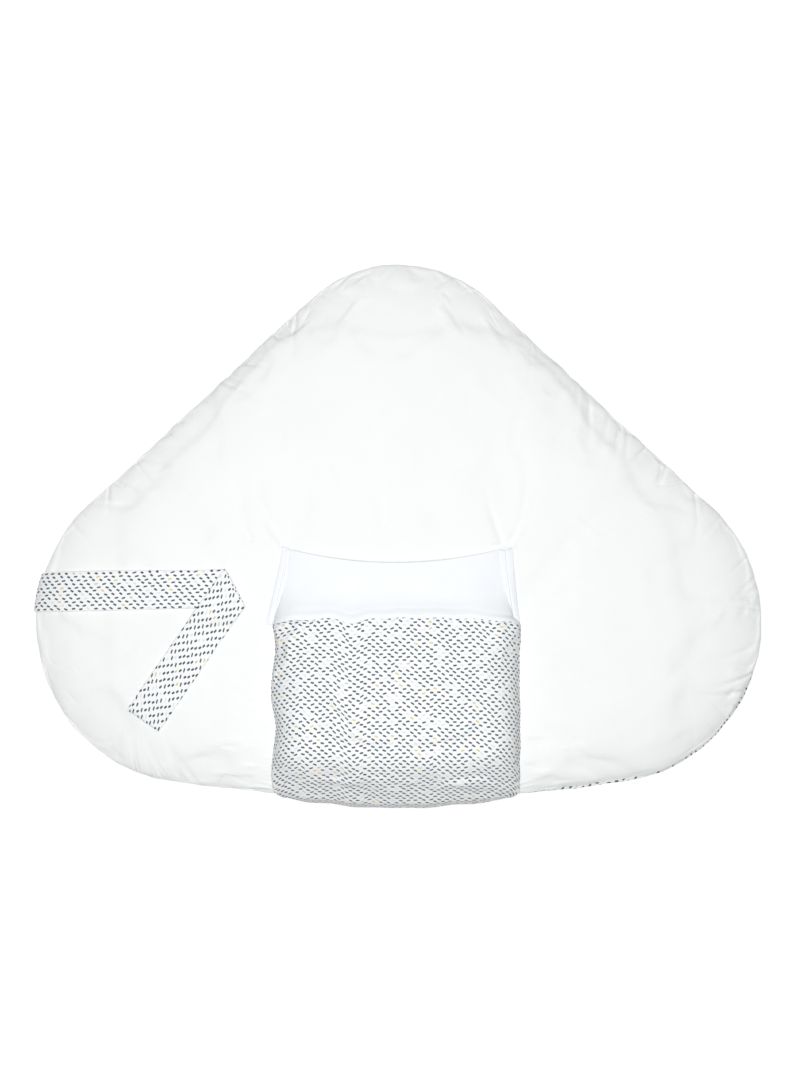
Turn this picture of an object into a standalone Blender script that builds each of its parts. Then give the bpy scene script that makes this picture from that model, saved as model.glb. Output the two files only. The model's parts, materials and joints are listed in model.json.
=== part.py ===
"""Padded nursing pillow and baby wrap: a rounded triangle of quilted cotton with two fold-up wings,
a fold-up hood, a puffy foot pouch with a stretch cuff, and a belt sewn into the left tip.

It lies on its back on the floor plane z = 0. +Y runs from the pouch to the hood, +X to the right,
+Z up. The origin is under the middle of the object. All sizes are in metres.
"""

import math

import bpy
import numpy as np

# The outline: a top arc, two lobes and a long bottom arc, with straight sides tangent to them.
PAD_WIDTH = 0.903
PAD_TOP_Y = 0.339
PAD_BOTTOM_Y = -0.328
TOP_RADIUS = 0.1657
LOBE_RADIUS = 0.200
BOTTOM_RADIUS = 1.850
LOBE_STEPS, TOP_STEPS, BOTTOM_STEPS = 16, 10, 8

# The pad's section: an elliptic edge above the rim seam and a tighter one below it.
RIM_HEIGHT = 0.018
CROWN_HEIGHT = 0.043
TOP_ROLL = 0.110
UNDER_ROLL = 0.055
COVER_THICKNESS = 0.0012
GAP = 0.0003
TOP_ANGLES = np.radians([0, 12, 26, 42, 60, 90])
UNDER_ANGLES = np.radians([0, 26, 55, 90])

# The foot pouch, from its mouth down over the pad's bottom edge.
POUCH_WIDTH = 0.306
POUCH_CENTRE_X = -0.003
POUCH_MOUTH_Y = -0.107
POUCH_TOP_HEIGHT = 0.088
POUCH_SIDE_ROLL = 0.045
POUCH_END_ROLL = 0.070
POUCH_END_BASE = 0.026
POUCH_CORNER = 0.030
POUCH_CORNER_GROWTH = 0.45
POUCH_OVERHANG_MIDDLE = 0.011
POUCH_OVERHANG_CORNER = 0.004
POUCH_HEM_DROP = 0.002
POUCH_CLOTH = 0.0010
POUCH_WADDING = 0.0042
POUCH_ANGLES = np.radians([0, 20, 40, 62, 90])

# The stretch cuff, its side tapes and the bar tacks at their tops.
CUFF_LENGTH = 0.0875
CUFF_EDGE_SAG = 0.017
CUFF_EDGE_WIDTH = 0.262
CUFF_EDGE_CENTRE_X = -0.005
CUFF_EDGE_RISE = 0.012
CUFF_EDGE_ROLL = 0.105
CUFF_THICKNESS = 0.0016
TAPE_WIDTH = 0.0095
TAPE_THICKNESS = 0.0012
TACK_LENGTH = 0.0035
TACK_OVERLAP = 0.0010
TACK_THICKNESS = 0.0016

# The fold lines. The wings fold just outside the pouch, the hood just above the wings' upper ends.
FOLD_CLEARANCE = 0.014
HOOD_FOLD_MARGIN = 0.004

# The belt: two print faces over an interlining, folded over once on a diagonal crease.
BELT_WIDTH = 0.048
BELT_FACE = 0.0008
BELT_INTERLINING = 0.0008
BELT_ABOVE_LOBE = 0.0406
BELT_TILT = math.radians(1.0)
BELT_TAIL_HEADING = math.radians(234.6)
BELT_TAIL_LENGTH = 0.2018
BELT_CREASE_CLEARANCE = 0.0338
BELT_STEP_START = 0.009
BELT_STEP_LENGTH = 0.016
BELT_HINGE_ANGLE = math.radians(19)
BELT_ROOT_ANGLE = math.radians(-4)
BELT_COLUMNS = 7
BELT_FLAT_ROWS = 4
BELT_TAIL_ROWS = 27

# What follows from those.
FOLD_X = POUCH_WIDTH / 2 + abs(POUCH_CENTRE_X) + FOLD_CLEARANCE
TOP_RISE = CROWN_HEIGHT - RIM_HEIGHT
BELT_STACK = 2 * BELT_FACE + BELT_INTERLINING + 2 * GAP
POUCH_LEFT = POUCH_CENTRE_X - POUCH_WIDTH / 2
POUCH_RIGHT = POUCH_CENTRE_X + POUCH_WIDTH / 2
CUFF_EDGE_Y = POUCH_MOUTH_Y + CUFF_LENGTH

WHITE_COTTON = ("white_cotton", (0.90, 0.91, 0.90), 0.85)
PRINT_COTTON = ("print_cotton", (0.74, 0.76, 0.80), 0.85)
WHITE_JERSEY = ("white_jersey", (0.88, 0.89, 0.93), 0.90)
WADDING = ("wadding", (0.93, 0.93, 0.92), 0.95)
INTERLINING = ("interlining", (0.82, 0.82, 0.80), 0.90)
THREAD = ("thread", (0.86, 0.87, 0.90), 0.70)


def clear_scene():
    for obj in list(bpy.data.objects):
        bpy.data.objects.remove(obj, do_unlink=True)


def material(finish):
    """The Principled material of one finish, made once."""
    name, colour, roughness = finish
    found = bpy.data.materials.get(name)
    if found:
        return found
    made = bpy.data.materials.new(name)
    made.use_nodes = True
    shader = made.node_tree.nodes["Principled BSDF"]
    shader.inputs["Base Color"].default_value = (*colour, 1)
    shader.inputs["Roughness"].default_value = roughness
    shader.inputs["Metallic"].default_value = 0.0
    return made


def add_mesh(name, points, faces, finish):
    mesh = bpy.data.meshes.new(name)
    mesh.from_pydata([tuple(map(float, point)) for point in points], [], faces)
    mesh.update()
    obj = bpy.data.objects.new(name, mesh)
    bpy.context.scene.collection.objects.link(obj)
    if finish:
        mesh.materials.append(material(finish))
    return obj


# ---- the outline ----


def outline_arcs():
    """(centre, radius, start angle, end angle, steps) of each arc, anticlockwise from the right lobe."""
    lobe_x = PAD_WIDTH / 2 - LOBE_RADIUS
    bottom_y = PAD_BOTTOM_Y + BOTTOM_RADIUS
    reach = BOTTOM_RADIUS - LOBE_RADIUS
    lobe_y = bottom_y - math.sqrt(reach**2 - lobe_x**2)
    top_y = PAD_TOP_Y - TOP_RADIUS
    spread = math.asin(lobe_x / reach)
    lean = math.atan2(lobe_y - top_y, lobe_x)
    side = lean + math.acos((TOP_RADIUS - LOBE_RADIUS) / math.hypot(lobe_x, lobe_y - top_y))
    down = 1.5 * math.pi
    return [
        ((lobe_x, lobe_y), LOBE_RADIUS, down + spread - 2 * math.pi, side, LOBE_STEPS),
        ((0.0, top_y), TOP_RADIUS, side, math.pi - side, TOP_STEPS),
        ((-lobe_x, lobe_y), LOBE_RADIUS, math.pi - side, down - spread, LOBE_STEPS),
        ((0.0, bottom_y), BOTTOM_RADIUS, down - spread, down + spread, BOTTOM_STEPS),
    ]


ARCS = outline_arcs()
LOBE_CENTRE = np.array(ARCS[2][0])
SIDE_ANGLE = ARCS[0][3]


def outline(inset):
    """The outline moved inwards: each arc keeps its centre and loses that much radius."""
    points = []
    for (x, y), radius, start, end, steps in ARCS:
        angles = np.linspace(start, end, steps + 1)
        if radius == BOTTOM_RADIUS:
            angles = angles[1:-1]
        reach = radius - inset
        points += [(x + reach * math.cos(a), y + reach * math.sin(a)) for a in angles]
    return np.array(points)


def inset_of(x, y):
    """How far inside the outline a point is: the least distance to a tangent line of any arc.

    On one arc that line is the one facing the point, or the one at the arc's nearer end."""
    least = np.full(np.shape(x), np.inf)
    for (cx, cy), radius, start, end, _ in ARCS:
        middle = (start + end) / 2
        facing = np.arctan2(y - cy, x - cx) - middle
        facing = (facing + math.pi) % (2 * math.pi) - math.pi
        nearest = np.clip(facing, start - middle, end - middle)
        away = np.hypot(x - cx, y - cy) * np.cos(facing - nearest)
        least = np.minimum(least, radius - away)
    return least


def top_height(x, y):
    """Height of the pad's front at a point."""
    part = 1 - np.clip(inset_of(x, y) / TOP_ROLL, 0, 1)
    return RIM_HEIGHT + TOP_RISE * np.sqrt(1 - part**2)


def side_line_y(x):
    """Height up the plan of the straight side at a distance x from the centre line."""
    (cx, cy), radius = ARCS[1][0], TOP_RADIUS
    return cy + (radius - (x - cx) * math.cos(SIDE_ANGLE)) / math.sin(SIDE_ANGLE)


def bottom_edge_y(x):
    """The pad's bottom edge at x, on the long bottom arc."""
    return ARCS[3][0][1] - np.sqrt(BOTTOM_RADIUS**2 - x**2)


HOOD_FOLD_Y = side_line_y(FOLD_X) + HOOD_FOLD_MARGIN


# ---- the pad: front cover, back cover and wadding, each cut into four at the fold lines ----


def top_rings(depth, base=RIM_HEIGHT):
    """(inset, height) up the upper edge roll, at a depth under the cover's outer face."""
    rise = CROWN_HEIGHT - depth - base
    reach = TOP_ROLL - depth
    return [(TOP_ROLL - reach * math.cos(a), base + rise * math.sin(a)) for a in TOP_ANGLES]


def under_rings(depth, base=RIM_HEIGHT):
    """(inset, height) down the lower edge roll, at a depth under the cover's outer face."""
    drop = base - depth
    reach = UNDER_ROLL - depth
    return [(UNDER_ROLL - reach * math.cos(a), base - drop * math.sin(a)) for a in UNDER_ANGLES]


def ring_solid(name, rings, finish):
    """A closed solid skinned through rings of the outline, with a flat cap on the first and last."""
    points, faces = [], []
    for inset, height in rings:
        points += [(x, y, height) for x, y in outline(inset)]
    count = len(points) // len(rings)
    for ring in range(len(rings) - 1):
        low, high = ring * count, (ring + 1) * count
        for i in range(count):
            j = (i + 1) % count
            faces.append((low + i, low + j, high + j, high + i))
    faces.append(tuple(reversed(range(count))))
    faces.append(tuple(range((len(rings) - 1) * count, len(rings) * count)))
    return add_mesh(name, points, faces, finish)


def box_cutter(name, low, high):
    """A hidden box that a Boolean cuts with."""
    x0, y0, z0 = low
    x1, y1, z1 = high
    points = [(x, y, z) for z in (z0, z1) for x, y in ((x0, y0), (x1, y0), (x1, y1), (x0, y1))]
    faces = [(3, 2, 1, 0), (4, 5, 6, 7)]
    faces += [(i, (i + 1) % 4, (i + 1) % 4 + 4, i + 4) for i in range(4)]
    cutter = add_mesh(name, points, faces, None)
    return hide(cutter)


def hide(cutter):
    cutter.hide_render = True
    cutter.display_type = "WIRE"
    return cutter


def cut(obj, cutter, operation):
    modifier = obj.modifiers.new(cutter.name, "BOOLEAN")
    modifier.operation = operation
    modifier.solver = "EXACT"
    modifier.object = cutter


def pad_regions():
    """A box for each body of the pad, half a gap back from every fold line."""
    half = GAP / 2
    far = PAD_WIDTH
    low, high = -CROWN_HEIGHT, 2 * CROWN_HEIGHT
    fold, hood = FOLD_X, HOOD_FOLD_Y
    return {
        "middle": box_cutter("cut_middle", (half - fold, -far, low), (fold - half, hood - half, high)),
        "left_wing": box_cutter("cut_left_wing", (-far, -far, low), (-fold - half, far, high)),
        "right_wing": box_cutter("cut_right_wing", (fold + half, -far, low), (far, far, high)),
        "hood": box_cutter("cut_hood", (half - fold, hood + half, low), (fold - half, far, high)),
    }


def pad():
    front = list(reversed(top_rings(COVER_THICKNESS, RIM_HEIGHT + GAP / 2)))
    front += top_rings(0, RIM_HEIGHT + GAP / 2)
    back = list(reversed(under_rings(0, RIM_HEIGHT - GAP / 2)))
    back += under_rings(COVER_THICKNESS, RIM_HEIGHT - GAP / 2)
    depth = COVER_THICKNESS + GAP
    filling = list(reversed(under_rings(depth))) + top_rings(depth)[1:]
    layers = {
        "front_cover": (front, WHITE_COTTON),
        "back_cover": (back, PRINT_COTTON),
        "wadding": (filling, WADDING),
    }
    for place, region in pad_regions().items():
        for layer, (rings, finish) in layers.items():
            piece = ring_solid(f"{layer}_{place}", rings, finish)
            cut(piece, region, "INTERSECT")


# ---- sheets with a thickness ----


def both_sides(quad, below):
    """A quad as two triangles, and the same two turned over on the layer that starts at below.

    Neighbouring layers so share one diagonal, and keep their gap where the quads are twisted."""
    a, b, c, d = quad
    pair = [(a, b, c), (a, c, d)]
    return pair + [tuple(below + i for i in reversed(triangle)) for triangle in pair]


def thick_sheet(name, outer, inner, finish):
    """A closed solid between two grids of points: both faces, and a strip round the border."""
    rows, columns = outer.shape[:2]
    points = np.concatenate([outer.reshape(-1, 3), inner.reshape(-1, 3)])
    below = rows * columns

    def at(row, column):
        return row * columns + column

    faces = []
    for r in range(rows - 1):
        for c in range(columns - 1):
            faces += both_sides((at(r, c), at(r, c + 1), at(r + 1, c + 1), at(r + 1, c)), below)
    border = [at(0, c) for c in range(columns)] + [at(r, columns - 1) for r in range(1, rows)]
    border += [at(rows - 1, c) for c in range(columns - 2, -1, -1)]
    border += [at(r, 0) for r in range(rows - 2, 0, -1)]
    for i, j in zip(border, border[1:] + border[:1]):
        faces.append((j, i, below + i, below + j))
    return add_mesh(name, points, faces, finish)


# ---- the foot pouch ----


def pouch_edge(side_inset, end_inset):
    """The pouch's U in plan: down the left side, round the bottom, up the right side.

    It returns the points and, for each, how far it belongs to the end rather than to a side."""
    left, right = POUCH_LEFT + side_inset, POUCH_RIGHT - side_inset
    corner = POUCH_CORNER + POUCH_CORNER_GROWTH * side_inset
    mouth = POUCH_MOUTH_Y - GAP / 2

    def hem_y(x):
        across = (x - POUCH_CENTRE_X) / (POUCH_WIDTH / 2)
        extra = POUCH_OVERHANG_MIDDLE - POUCH_OVERHANG_CORNER
        return bottom_edge_y(x) - POUCH_OVERHANG_MIDDLE + extra * across**2 + end_inset

    points, endness = [], []
    for y in np.linspace(mouth, hem_y(left) + corner, 6):
        points.append((left, y))
        endness.append(0.0)
    quarter = np.linspace(0, math.pi / 2, 7)[1:]
    for a in quarter:
        x = left + corner * (1 - math.cos(a))
        points.append((x, hem_y(x) + corner * (1 - math.sin(a))))
        endness.append(math.sin(a) ** 2)
    for x in np.linspace(left + corner, right - corner, 9)[1:-1]:
        points.append((x, hem_y(x)))
        endness.append(1.0)
    for a in quarter[::-1]:
        x = right - corner * (1 - math.cos(a))
        points.append((x, hem_y(x) + corner * (1 - math.sin(a))))
        endness.append(math.sin(a) ** 2)
    for y in np.linspace(hem_y(right) + corner, mouth, 6):
        points.append((right, y))
        endness.append(0.0)
    return np.array(points), np.array(endness)


def pouch_surface(depth):
    """Rings of the pouch at a depth under its outer face: a plain hem, then an elliptic shoulder."""
    rings = []
    plan, endness = pouch_edge(depth, depth)
    hem = np.full(len(plan), RIM_HEIGHT - POUCH_HEM_DROP)
    rings.append(np.column_stack([plan, hem]))
    base = CROWN_HEIGHT + (POUCH_END_BASE - CROWN_HEIGHT) * endness
    for a in POUCH_ANGLES:
        side = POUCH_SIDE_ROLL - (POUCH_SIDE_ROLL - depth) * math.cos(a)
        end = POUCH_END_ROLL - (POUCH_END_ROLL - depth) * math.cos(a)
        plan, _ = pouch_edge(side, end)
        height = base + (POUCH_TOP_HEIGHT - depth - base) * math.sin(a)
        rings.append(np.column_stack([plan, height]))
    return np.array(rings)


def pouch_layer(name, depth, thickness, finish, clearance):
    """One layer of the pouch wall, open at its mouth and trimmed to sit on the pad."""
    outer, inner = pouch_surface(depth), pouch_surface(depth + thickness)
    rings, count = outer.shape[:2]
    points = np.concatenate([outer.reshape(-1, 3), inner.reshape(-1, 3)])
    below = rings * count
    last = count - 1
    top = (rings - 1) * count
    faces = []
    for r in range(rings - 1):
        low, high = r * count, (r + 1) * count
        for i in range(last):
            faces += both_sides((low + i, low + i + 1, high + i + 1, high + i), below)
        faces.append((low, high, below + high, below + low))
        faces.append((high + last, low + last, below + low + last, below + high + last))
    faces.append(tuple(range(top, top + count)))
    faces.append(tuple(below + k for k in reversed(range(top, top + count))))
    faces.append((top, top + last, below + top + last, below + top))
    for i in range(last):
        faces.append((i + 1, i, below + i, below + i + 1))
    cut(add_mesh(name, points, faces, finish), clearance, "DIFFERENCE")


def pouch():
    rings = list(reversed(under_rings(-GAP))) + top_rings(-GAP)[1:]
    clearance = hide(ring_solid("cut_pad_clearance", rings, None))
    wadding_depth = POUCH_CLOTH + GAP
    lining_depth = wadding_depth + POUCH_WADDING + GAP
    pouch_layer("pouch_print_cover", 0.0, POUCH_CLOTH, PRINT_COTTON, clearance)
    pouch_layer("pouch_wadding", wadding_depth, POUCH_WADDING, WADDING, clearance)
    pouch_layer("pouch_lining", lining_depth, POUCH_CLOTH, WHITE_COTTON, clearance)


# ---- the cuff, its tapes and its bar tacks ----


def cuff_foot(part):
    """x of the cuff's left and right foot, at a part of the way from the mouth to its free edge."""
    left = POUCH_LEFT + part * (CUFF_EDGE_CENTRE_X - CUFF_EDGE_WIDTH / 2 - POUCH_LEFT)
    right = POUCH_RIGHT + part * (CUFF_EDGE_CENTRE_X + CUFF_EDGE_WIDTH / 2 - POUCH_RIGHT)
    return left, right


def cuff_surface(depth):
    """The cuff as rows of arches: high where it is sewn to the pouch, low at its free edge."""
    foot_height = CROWN_HEIGHT + GAP
    mouth_rise = POUCH_TOP_HEIGHT - foot_height
    start_y = POUCH_MOUTH_Y + GAP / 2
    rows = []
    for part in (0.0, 0.08, 0.18, 0.32, 0.55, 0.8, 1.0):
        left, right = cuff_foot(part)
        fall = (1 - part) ** 4
        rise = CUFF_EDGE_RISE + (mouth_rise - CUFF_EDGE_RISE) * fall
        roll = CUFF_EDGE_ROLL + (POUCH_SIDE_ROLL - CUFF_EDGE_ROLL) * fall
        inset = [roll - (roll - depth) * math.cos(a) for a in POUCH_ANGLES]
        height = [foot_height + (rise - depth) * math.sin(a) for a in POUCH_ANGLES]
        middle = np.linspace(left + roll, right - roll, 6)[1:-1]
        x = np.concatenate([left + np.array(inset), middle, right - np.array(inset[::-1])])
        z = np.concatenate([height, np.full(len(middle), height[-1]), height[::-1]])
        across = (x - (left + right) / 2) / ((right - left) / 2)
        free_y = CUFF_EDGE_Y - CUFF_EDGE_SAG * (1 - across**2)
        y = start_y + part * (free_y - start_y)
        rows.append(np.column_stack([x, y, z]))
    return np.array(rows)


def flat_strip(name, corners, thickness, finish):
    """A four-cornered strip lying on the pad's flat middle, corners anticlockwise from above."""
    low = CROWN_HEIGHT + GAP
    a, b, c, d = corners
    grid = [[(*a, low), (*b, low)], [(*d, low), (*c, low)]]
    inner = np.array(grid)
    outer = inner + np.array([0, 0, thickness])
    return thick_sheet(name, outer, inner, finish)


def cuff():
    thick_sheet("cuff_band", cuff_surface(0.0), cuff_surface(CUFF_THICKNESS), WHITE_JERSEY)
    low_y, high_y = POUCH_MOUTH_Y + GAP / 2, CUFF_EDGE_Y
    tack_y = high_y + GAP
    for side, name in ((-1, "left"), (1, "right")):
        low_x = cuff_foot(0.0)[(side + 1) // 2] + side * GAP
        high_x = cuff_foot(1.0)[(side + 1) // 2] + side * GAP
        low_pair = sorted((low_x, low_x + side * TAPE_WIDTH))
        high_pair = sorted((high_x, high_x + side * TAPE_WIDTH))
        tape = ((low_pair[0], low_y), (low_pair[1], low_y), (high_pair[1], high_y), (high_pair[0], high_y))
        flat_strip(f"side_tape_{name}", tape, TAPE_THICKNESS, WHITE_JERSEY)
        x0, x1 = high_pair[0] - TACK_OVERLAP, high_pair[1] + TACK_OVERLAP
        y0, y1 = tack_y, tack_y + TACK_LENGTH
        flat_strip(f"bar_tack_{name}", ((x0, y0), (x1, y0), (x1, y1), (x0, y1)), TACK_THICKNESS, THREAD)


# ---- the belt ----

RUN = np.array([math.cos(BELT_TILT), math.sin(BELT_TILT)])
RUN_ACROSS = np.array([-RUN[1], RUN[0]])
TAIL = np.array([math.cos(BELT_TAIL_HEADING), math.sin(BELT_TAIL_HEADING)])
TAIL_ACROSS = np.array([-TAIL[1], TAIL[0]])
CREASE = (RUN + TAIL) / np.linalg.norm(RUN + TAIL)
CREASE_X = -(FOLD_X + BELT_CREASE_CLEARANCE)
BELT_ORIGIN = LOBE_CENTRE + np.array([0.0, BELT_ABOVE_LOBE])
CREASE_MIDDLE = BELT_ORIGIN + RUN * (CREASE_X - BELT_ORIGIN[0]) / RUN[0]
ACROSS = np.linspace(-BELT_WIDTH / 2, BELT_WIDTH / 2, BELT_COLUMNS)


def travel_to_inset(starts, inset):
    """How far along the run each start point comes to an inset, by halving the way to the crease."""
    low = np.full(len(starts), -PAD_WIDTH)
    high = (CREASE_MIDDLE - starts) @ RUN
    for _ in range(40):
        middle = (low + high) / 2
        plan = starts + middle[:, None] * RUN
        short = inset_of(plan[:, 0], plan[:, 1]) < inset
        low, high = np.where(short, middle, low), np.where(short, high, middle)
    return low


def belt_run_surface(lift):
    """Rows of the run at a height over the pad's front: up its edge roll, then flat to the crease."""
    starts = BELT_ORIGIN + ACROSS[:, None] * RUN_ACROSS
    rows = []
    for a in np.concatenate([[BELT_ROOT_ANGLE], TOP_ANGLES]):
        travel = travel_to_inset(starts, TOP_ROLL - (TOP_ROLL + lift) * math.cos(a))
        height = np.full(BELT_COLUMNS, RIM_HEIGHT + (TOP_RISE + lift) * math.sin(a))
        rows.append(np.column_stack([starts + travel[:, None] * RUN, height]))
    crease = CREASE_MIDDLE + CREASE * (ACROSS / (CREASE @ RUN_ACROSS))[:, None]
    end = np.column_stack([crease, rows[-1][:, 2]])
    flat = [rows[-1] + (end - rows[-1]) * part for part in np.linspace(0, 1, BELT_FLAT_ROWS + 1)[1:]]
    return np.array(rows + flat)


def belt_hinge():
    """The swing's axis: a point on the run's outer face near the rim, and the way the run leaves it."""
    lift = GAP + BELT_STACK
    a = BELT_HINGE_ANGLE
    inset = TOP_ROLL - (TOP_ROLL + lift) * math.cos(a)
    plan = BELT_ORIGIN + RUN * travel_to_inset(BELT_ORIGIN[None], inset)
    outwards = (plan - LOBE_CENTRE) / np.linalg.norm(plan - LOBE_CENTRE)
    point = np.array([*plan, RIM_HEIGHT + (TOP_RISE + lift) * math.sin(a)])
    slope = np.array([(TOP_ROLL + lift) * math.sin(a), (TOP_RISE + lift) * math.cos(a)])
    slope /= np.linalg.norm(slope)
    leaves = np.array([*(-outwards * slope[0]), slope[1]])
    axis = np.array([outwards[1], -outwards[0], 0.0])
    return point, leaves, axis


def split_at_hinge(grid):
    """The rows before and after the swing's axis, each ending half a gap from it."""
    point, leaves, _ = belt_hinge()
    distance = (grid - point) @ leaves
    after = int(np.argmax(distance.min(axis=1) > GAP / 2))
    low, high = grid[after - 1], grid[after]
    from_low = distance[after - 1]
    step = distance[after] - from_low

    def row_at(offset):
        return low + (high - low) * ((offset - from_low) / step)[:, None]

    root = np.concatenate([grid[:after], row_at(-GAP / 2)[None]])
    run = np.concatenate([row_at(GAP / 2)[None], grid[after:]])
    return root, run


def belt_tail_surface(lift):
    """Rows of the tail: from the crease, over the run beneath it, then down on the pad."""
    rows = []
    start = ACROSS * (CREASE @ TAIL) / (CREASE @ TAIL_ACROSS)
    for part in np.linspace(0, 1, BELT_TAIL_ROWS):
        travel = start + (BELT_TAIL_LENGTH - start) * part
        plan = CREASE_MIDDLE + ACROSS[:, None] * TAIL_ACROSS + travel[:, None] * TAIL
        over = (plan - BELT_ORIGIN) @ RUN_ACROSS + BELT_WIDTH / 2 + BELT_STEP_START
        ease = np.clip(1 + over / BELT_STEP_LENGTH, 0, 1)
        step = (BELT_STACK + GAP) * ease**2 * (3 - 2 * ease)
        height = top_height(plan[:, 0], plan[:, 1]) + GAP + lift + step
        rows.append(np.column_stack([plan, height]))
    return np.array(rows)


def belt():
    layers = [
        ("lower_face", 0.0, BELT_FACE, PRINT_COTTON),
        ("interlining", BELT_FACE + GAP, BELT_INTERLINING, INTERLINING),
        ("upper_face", BELT_FACE + 2 * GAP + BELT_INTERLINING, BELT_FACE, PRINT_COTTON),
    ]
    for layer, lift, thickness, finish in layers:
        inner = split_at_hinge(belt_run_surface(GAP + lift))[1]
        outer = split_at_hinge(belt_run_surface(GAP + lift + thickness))[1]
        thick_sheet(f"belt_run_{layer}", inner, outer, finish)
        thick_sheet(
            f"belt_tail_{layer}", belt_tail_surface(lift), belt_tail_surface(lift + thickness), finish
        )
    root_inner = split_at_hinge(belt_run_surface(GAP))[0]
    root_outer = split_at_hinge(belt_run_surface(GAP + BELT_STACK))[0]
    thick_sheet("belt_seam_end", root_inner, root_outer, PRINT_COTTON)


clear_scene()
pad()
pouch()
cuff()
belt()
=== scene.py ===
import json
import math

import bpy
import numpy as np
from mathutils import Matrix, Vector


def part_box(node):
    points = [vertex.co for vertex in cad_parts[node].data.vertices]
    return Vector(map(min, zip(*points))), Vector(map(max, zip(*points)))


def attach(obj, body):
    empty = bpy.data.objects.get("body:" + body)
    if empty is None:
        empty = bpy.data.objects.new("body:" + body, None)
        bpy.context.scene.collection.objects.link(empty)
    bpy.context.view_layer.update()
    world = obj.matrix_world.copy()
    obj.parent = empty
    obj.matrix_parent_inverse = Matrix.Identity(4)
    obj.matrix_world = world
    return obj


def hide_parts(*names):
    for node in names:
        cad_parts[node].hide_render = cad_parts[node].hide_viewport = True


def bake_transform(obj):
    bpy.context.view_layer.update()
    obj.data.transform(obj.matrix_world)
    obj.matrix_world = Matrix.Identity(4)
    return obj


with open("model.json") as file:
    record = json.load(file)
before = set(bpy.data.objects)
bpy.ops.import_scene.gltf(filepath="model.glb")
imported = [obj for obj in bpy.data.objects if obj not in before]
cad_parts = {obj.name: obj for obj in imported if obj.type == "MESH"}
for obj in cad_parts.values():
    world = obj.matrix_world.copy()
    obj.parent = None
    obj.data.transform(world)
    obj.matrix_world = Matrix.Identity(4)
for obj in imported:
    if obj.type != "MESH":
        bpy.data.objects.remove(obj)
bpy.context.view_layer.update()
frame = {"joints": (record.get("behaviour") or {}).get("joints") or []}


# ---- The table it lies on, the light and the camera ----
# A white sweep with a glow of its own, under a large soft lamp almost overhead and a weak even
# fill, so the padding shades grey only where it turns down. The camera looks almost straight down.

look_at = Vector((0.0012, -0.0005, 0.030))
camera_distance = 3.2
camera_elevation = math.radians(87.5)

camera = bpy.data.objects.new("camera", bpy.data.cameras.new("camera"))
camera.data.lens = 86.7
camera.location = look_at + camera_distance * Vector(
    (0.0, -math.cos(camera_elevation), math.sin(camera_elevation))
)
camera.rotation_euler = (math.pi / 2 - camera_elevation, 0.0, 0.0)
bpy.context.scene.collection.objects.link(camera)
bpy.context.scene.camera = camera

lamp = bpy.data.objects.new("overhead_lamp", bpy.data.lights.new("overhead_lamp", "AREA"))
lamp.data.shape = "DISK"
lamp.data.size = 1.0
lamp.data.energy = 55.5
lamp.location = (-0.06, -0.06, 2.3)
bpy.context.scene.collection.objects.link(lamp)

world = bpy.data.worlds.new("even_fill")
world.use_nodes = True
world.node_tree.nodes["Background"].inputs["Color"].default_value = (1.0, 1.0, 1.0, 1.0)
world.node_tree.nodes["Background"].inputs["Strength"].default_value = 0.10
bpy.context.scene.world = world
bpy.context.scene.view_settings.view_transform = "Standard"

sweep_half, sweep_z = 8.0, -0.0004
sweep_mesh = bpy.data.meshes.new("white_sweep")
sweep_mesh.from_pydata(
    [(x * sweep_half, y * sweep_half, sweep_z) for x, y in ((-1, -1), (1, -1), (1, 1), (-1, 1))],
    [],
    [(0, 1, 2, 3)],
)
sweep_paper = bpy.data.materials.new("sweep_paper")
sweep_paper.use_nodes = True
paper_shader = sweep_paper.node_tree.nodes["Principled BSDF"]
paper_shader.inputs["Base Color"].default_value = (0.50, 0.50, 0.50, 1.0)
paper_shader.inputs["Roughness"].default_value = 0.95
paper_shader.inputs["Specular IOR Level"].default_value = 0.1
paper_shader.inputs["Emission Color"].default_value = (1.0, 1.0, 1.0, 1.0)
paper_shader.inputs["Emission Strength"].default_value = 0.66
sweep_mesh.materials.append(sweep_paper)
sweep = bpy.data.objects.new("white_sweep", sweep_mesh)
bpy.context.scene.collection.objects.link(sweep)


# ---- The pad's front cover ----
# A rounded triangle of white cotton percale, sewn round its rim to the printed back and turned out
# over the wadding. The seam draws it into small puckers, and the cuff's tacks pull folds into it.

half_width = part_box("front_cover_right_wing")[1].x
top_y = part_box("front_cover_hood")[1].y
bottom_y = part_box("front_cover_middle")[0].y
crown_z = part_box("front_cover_middle")[1].z
rim_z = 0.018
top_radius, lobe_radius, bottom_radius = 0.1657, 0.200, 1.850
front_roll = 0.110
fold_x = 0.170
left_bend_end, right_bend_end = 0.200, 0.215
hood_fold_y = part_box("front_cover_hood")[0].y
hood_bend_end = hood_fold_y + 0.045
bends = {
    "middle": ("hood", (0, hood_fold_y, 0), (0, hood_bend_end, 0)),
    "left_wing": ("left_wing", (-fold_x, 0, 0), (-left_bend_end, 0, 0)),
    "right_wing": ("right_wing", (fold_x, 0, 0), (right_bend_end, 0, 0)),
}


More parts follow.
